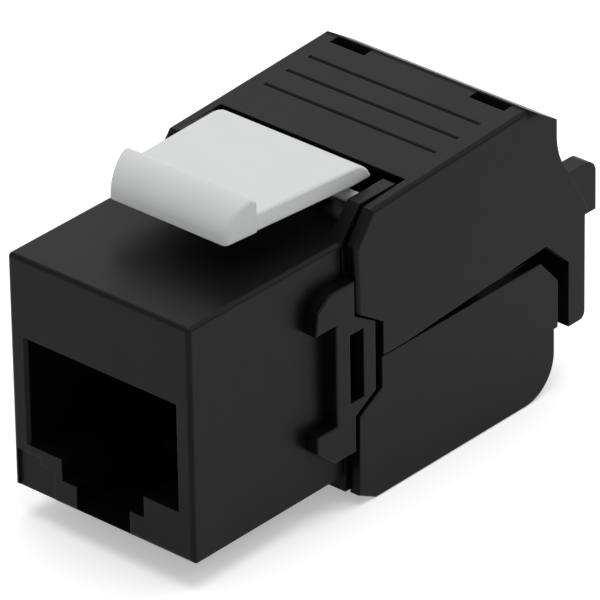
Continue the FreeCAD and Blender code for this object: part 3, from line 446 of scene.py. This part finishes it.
def bevel_ridge_end(side):
    """Cuts one end of the ridge off at a slant and rounds the rim of the cut above the plate."""
    depth = RIDGE_BACK - FACE_FOOT
    corner = Vector((side * (PLATE_FRONT_HALF - END_BEVEL), FACE_FOOT, 0.0))
    across = Vector((-side * depth, END_BEVEL, 0.0)).normalized()
    cut_away(corner, across)

    def on_rim(middle):
        floor = RIDGE_LOW + RIDGE_FLOOR_RISE * (middle.y - FACE_FOOT) / depth
        on_cut = near((middle - corner).dot(across), 0.0)
        return on_cut and middle.z > floor + LAP / 2 and not near(middle.y, RIDGE_BACK)

    pick("EDGE", on_rim)
    bpy.ops.mesh.bevel(offset=END_ROUND, segments=END_STEPS, affect="EDGES")


def lever_ridge():
    """Raised lip with a round brow, a leaning face and bevelled ends."""
    ridge = add_block(
        "ridge", (-PLATE_FRONT_HALF, RIDGE_FRONT, RIDGE_LOW),
        (PLATE_FRONT_HALF, RIDGE_BACK, RIDGE_HIGH))
    bpy.ops.object.mode_set(mode="EDIT")
    shift(RIDGE_FRONT, RIDGE_LOW, (0.0, -FACE_LEAN, 0.0))
    shift(RIDGE_BACK, RIDGE_LOW, (0.0, 0.0, RIDGE_FLOOR_RISE))
    bpy.ops.mesh.select_all(action="SELECT")
    bpy.ops.mesh.bisect(plane_co=(0.0, RIDGE_CREST, 0.0), plane_no=REARWARD, threshold=WELD)
    shift(RIDGE_BACK, RIDGE_HIGH, (0.0, 0.0, -RIDGE_SLOPE))
    shift(RIDGE_FRONT, RIDGE_HIGH, (0.0, 0.0, -BROW_DROP))
    pick("EDGE", lambda middle: near(middle.y, RIDGE_FRONT) and near(middle.z, BROW_HIGH))
    bpy.ops.mesh.bevel(offset=BROW_ROUND, segments=BROW_STEPS, affect="EDGES")
    for side in (1.0, -1.0):
        bevel_ridge_end(side)
    bpy.ops.object.mode_set(mode="OBJECT")
    break_edges(ridge, RIDGE_EDGE, RIDGE_SHARPEST, clamp=True)
    return ridge


def snap_lever(finish):
    """Latch as it is seen: plate, ridge, pivot block and pins in one moulding."""
    pin_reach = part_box("snap_latch")[1].x
    lever = lever_plate()
    fuse(lever, lever_ridge())
    fuse(lever, add_block(
        "pivot_block", (-BLOCK_HALF, BLOCK_FRONT, BLOCK_LOW),
        (BLOCK_HALF, BLOCK_BACK, PLATE_LOW + LAP)))
    fuse(lever, add_bar(
        "pivot_pins", PIN_RADIUS, pin_reach, PIVOT_PLACE, PIVOT_HIGH, PIN_SIDES))
    normals = lever.modifiers.new("normals", "WEIGHTED_NORMAL")
    normals.keep_sharp = True
    bpy.ops.object.shade_smooth_by_angle(angle=SMOOTH_BELOW)
    bpy.ops.object.modifier_apply(modifier=normals.name)
    lever.name = "latch_lever"
    lever.data.name = "latch_lever"
    lever.data.materials.clear()
    lever.data.materials.append(finish)
    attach(lever, "latch")
    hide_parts("snap_latch")


def seen_white(tree, lighting, seen):
    """Value for the light that falls on things, and another one for where it is looked at."""
    path = tree.nodes.new("ShaderNodeLightPath")
    looked_at = path.outputs["Is Camera Ray"]
    for ray in ("Is Glossy Ray", "Is Transmission Ray"):
        looked_at = combine(tree, "MAXIMUM", looked_at, path.outputs[ray])
    return ramp(tree, looked_at, lighting, seen)


def make_world():
    """Even pale surroundings."""
    world = bpy.data.worlds.new("surroundings")
    world.use_nodes = True
    bpy.context.scene.world = world
    tree = world.node_tree
    background = tree.nodes["Background"]
    background.inputs["Color"].default_value = WHITE
    tree.links.new(seen_white(tree, SKY_LEVEL, WHITE_LEVEL), background.inputs["Strength"])


def make_floor():
    """Plain pale floor under the jack."""
    bpy.ops.object.select_all(action="DESELECT")
    bpy.ops.mesh.primitive_circle_add(
        vertices=FLOOR_SIDES, radius=FLOOR_RADIUS, fill_type="NGON",
        location=(0.0, 0.0, cad_low.z))
    floor = bpy.context.object
    floor.name = "floor"
    material, tree, shader = new_material("floor_white")
    shader.inputs["Base Color"].default_value = (FLOOR_TONE, FLOOR_TONE, FLOOR_TONE, 1.0)
    shader.inputs["Roughness"].default_value = FLOOR_ROUGHNESS
    shader.inputs["Specular IOR Level"].default_value = 0.0
    shader.inputs["Emission Color"].default_value = WHITE
    tree.links.new(seen_white(tree, 0.0, FLOOR_GLOW), shader.inputs["Emission Strength"])
    floor.data.materials.append(material)


def make_lights():
    """Wide softbox overhead, and two behind the jack: a small one right, a larger one left."""
    middle = (cad_low + cad_high) / 2
    for name, (place, side_length, power) in SOFTBOXES.items():
        data = bpy.data.lights.new(name, "AREA")
        data.shape = "SQUARE"
        data.size = side_length
        data.energy = power
        lamp = bpy.data.objects.new(name, data)
        bpy.context.scene.collection.objects.link(lamp)
        lamp.location = place
        lamp.rotation_mode = "QUATERNION"
        lamp.rotation_quaternion = (middle - Vector(place)).to_track_quat("-Z", "Y")


def make_camera():
    """Camera at the photograph's place and angle."""
    back = Vector((
        math.sin(VIEW_AZIMUTH) * math.cos(VIEW_ELEVATION),
        -math.cos(VIEW_AZIMUTH) * math.cos(VIEW_ELEVATION),
        math.sin(VIEW_ELEVATION)))
    right = Vector((math.cos(VIEW_AZIMUTH), math.sin(VIEW_AZIMUTH), 0.0))
    up = back.cross(right)
    rolled_right = right * math.cos(VIEW_ROLL) + up * math.sin(VIEW_ROLL)
    rolled_up = up * math.cos(VIEW_ROLL) - right * math.sin(VIEW_ROLL)
    data = bpy.data.cameras.new("camera")
    data.sensor_width = SENSOR_WIDTH
    data.lens = FOCAL_PIXELS * SENSOR_WIDTH / PICTURE_SIZE
    data.clip_start = NEAREST_SEEN
    data.clip_end = FARTHEST_SEEN
    camera = bpy.data.objects.new("camera", data)
    bpy.context.scene.collection.objects.link(camera)
    turn = Matrix((rolled_right, rolled_up, back)).transposed()
    place = VIEW_TARGET + back * VIEW_DISTANCE + rolled_right * VIEW_RIGHT + rolled_up * VIEW_UP
    camera.matrix_world = Matrix.Translation(place) @ turn.to_4x4()
    bpy.context.scene.camera = camera


bpy.ops.object.select_all(action="DESELECT")
make_camera()
make_world()
make_lights()
make_floor()
snap_lever(dress_nodes())
bpy.context.scene.view_settings.view_transform = "Standard"
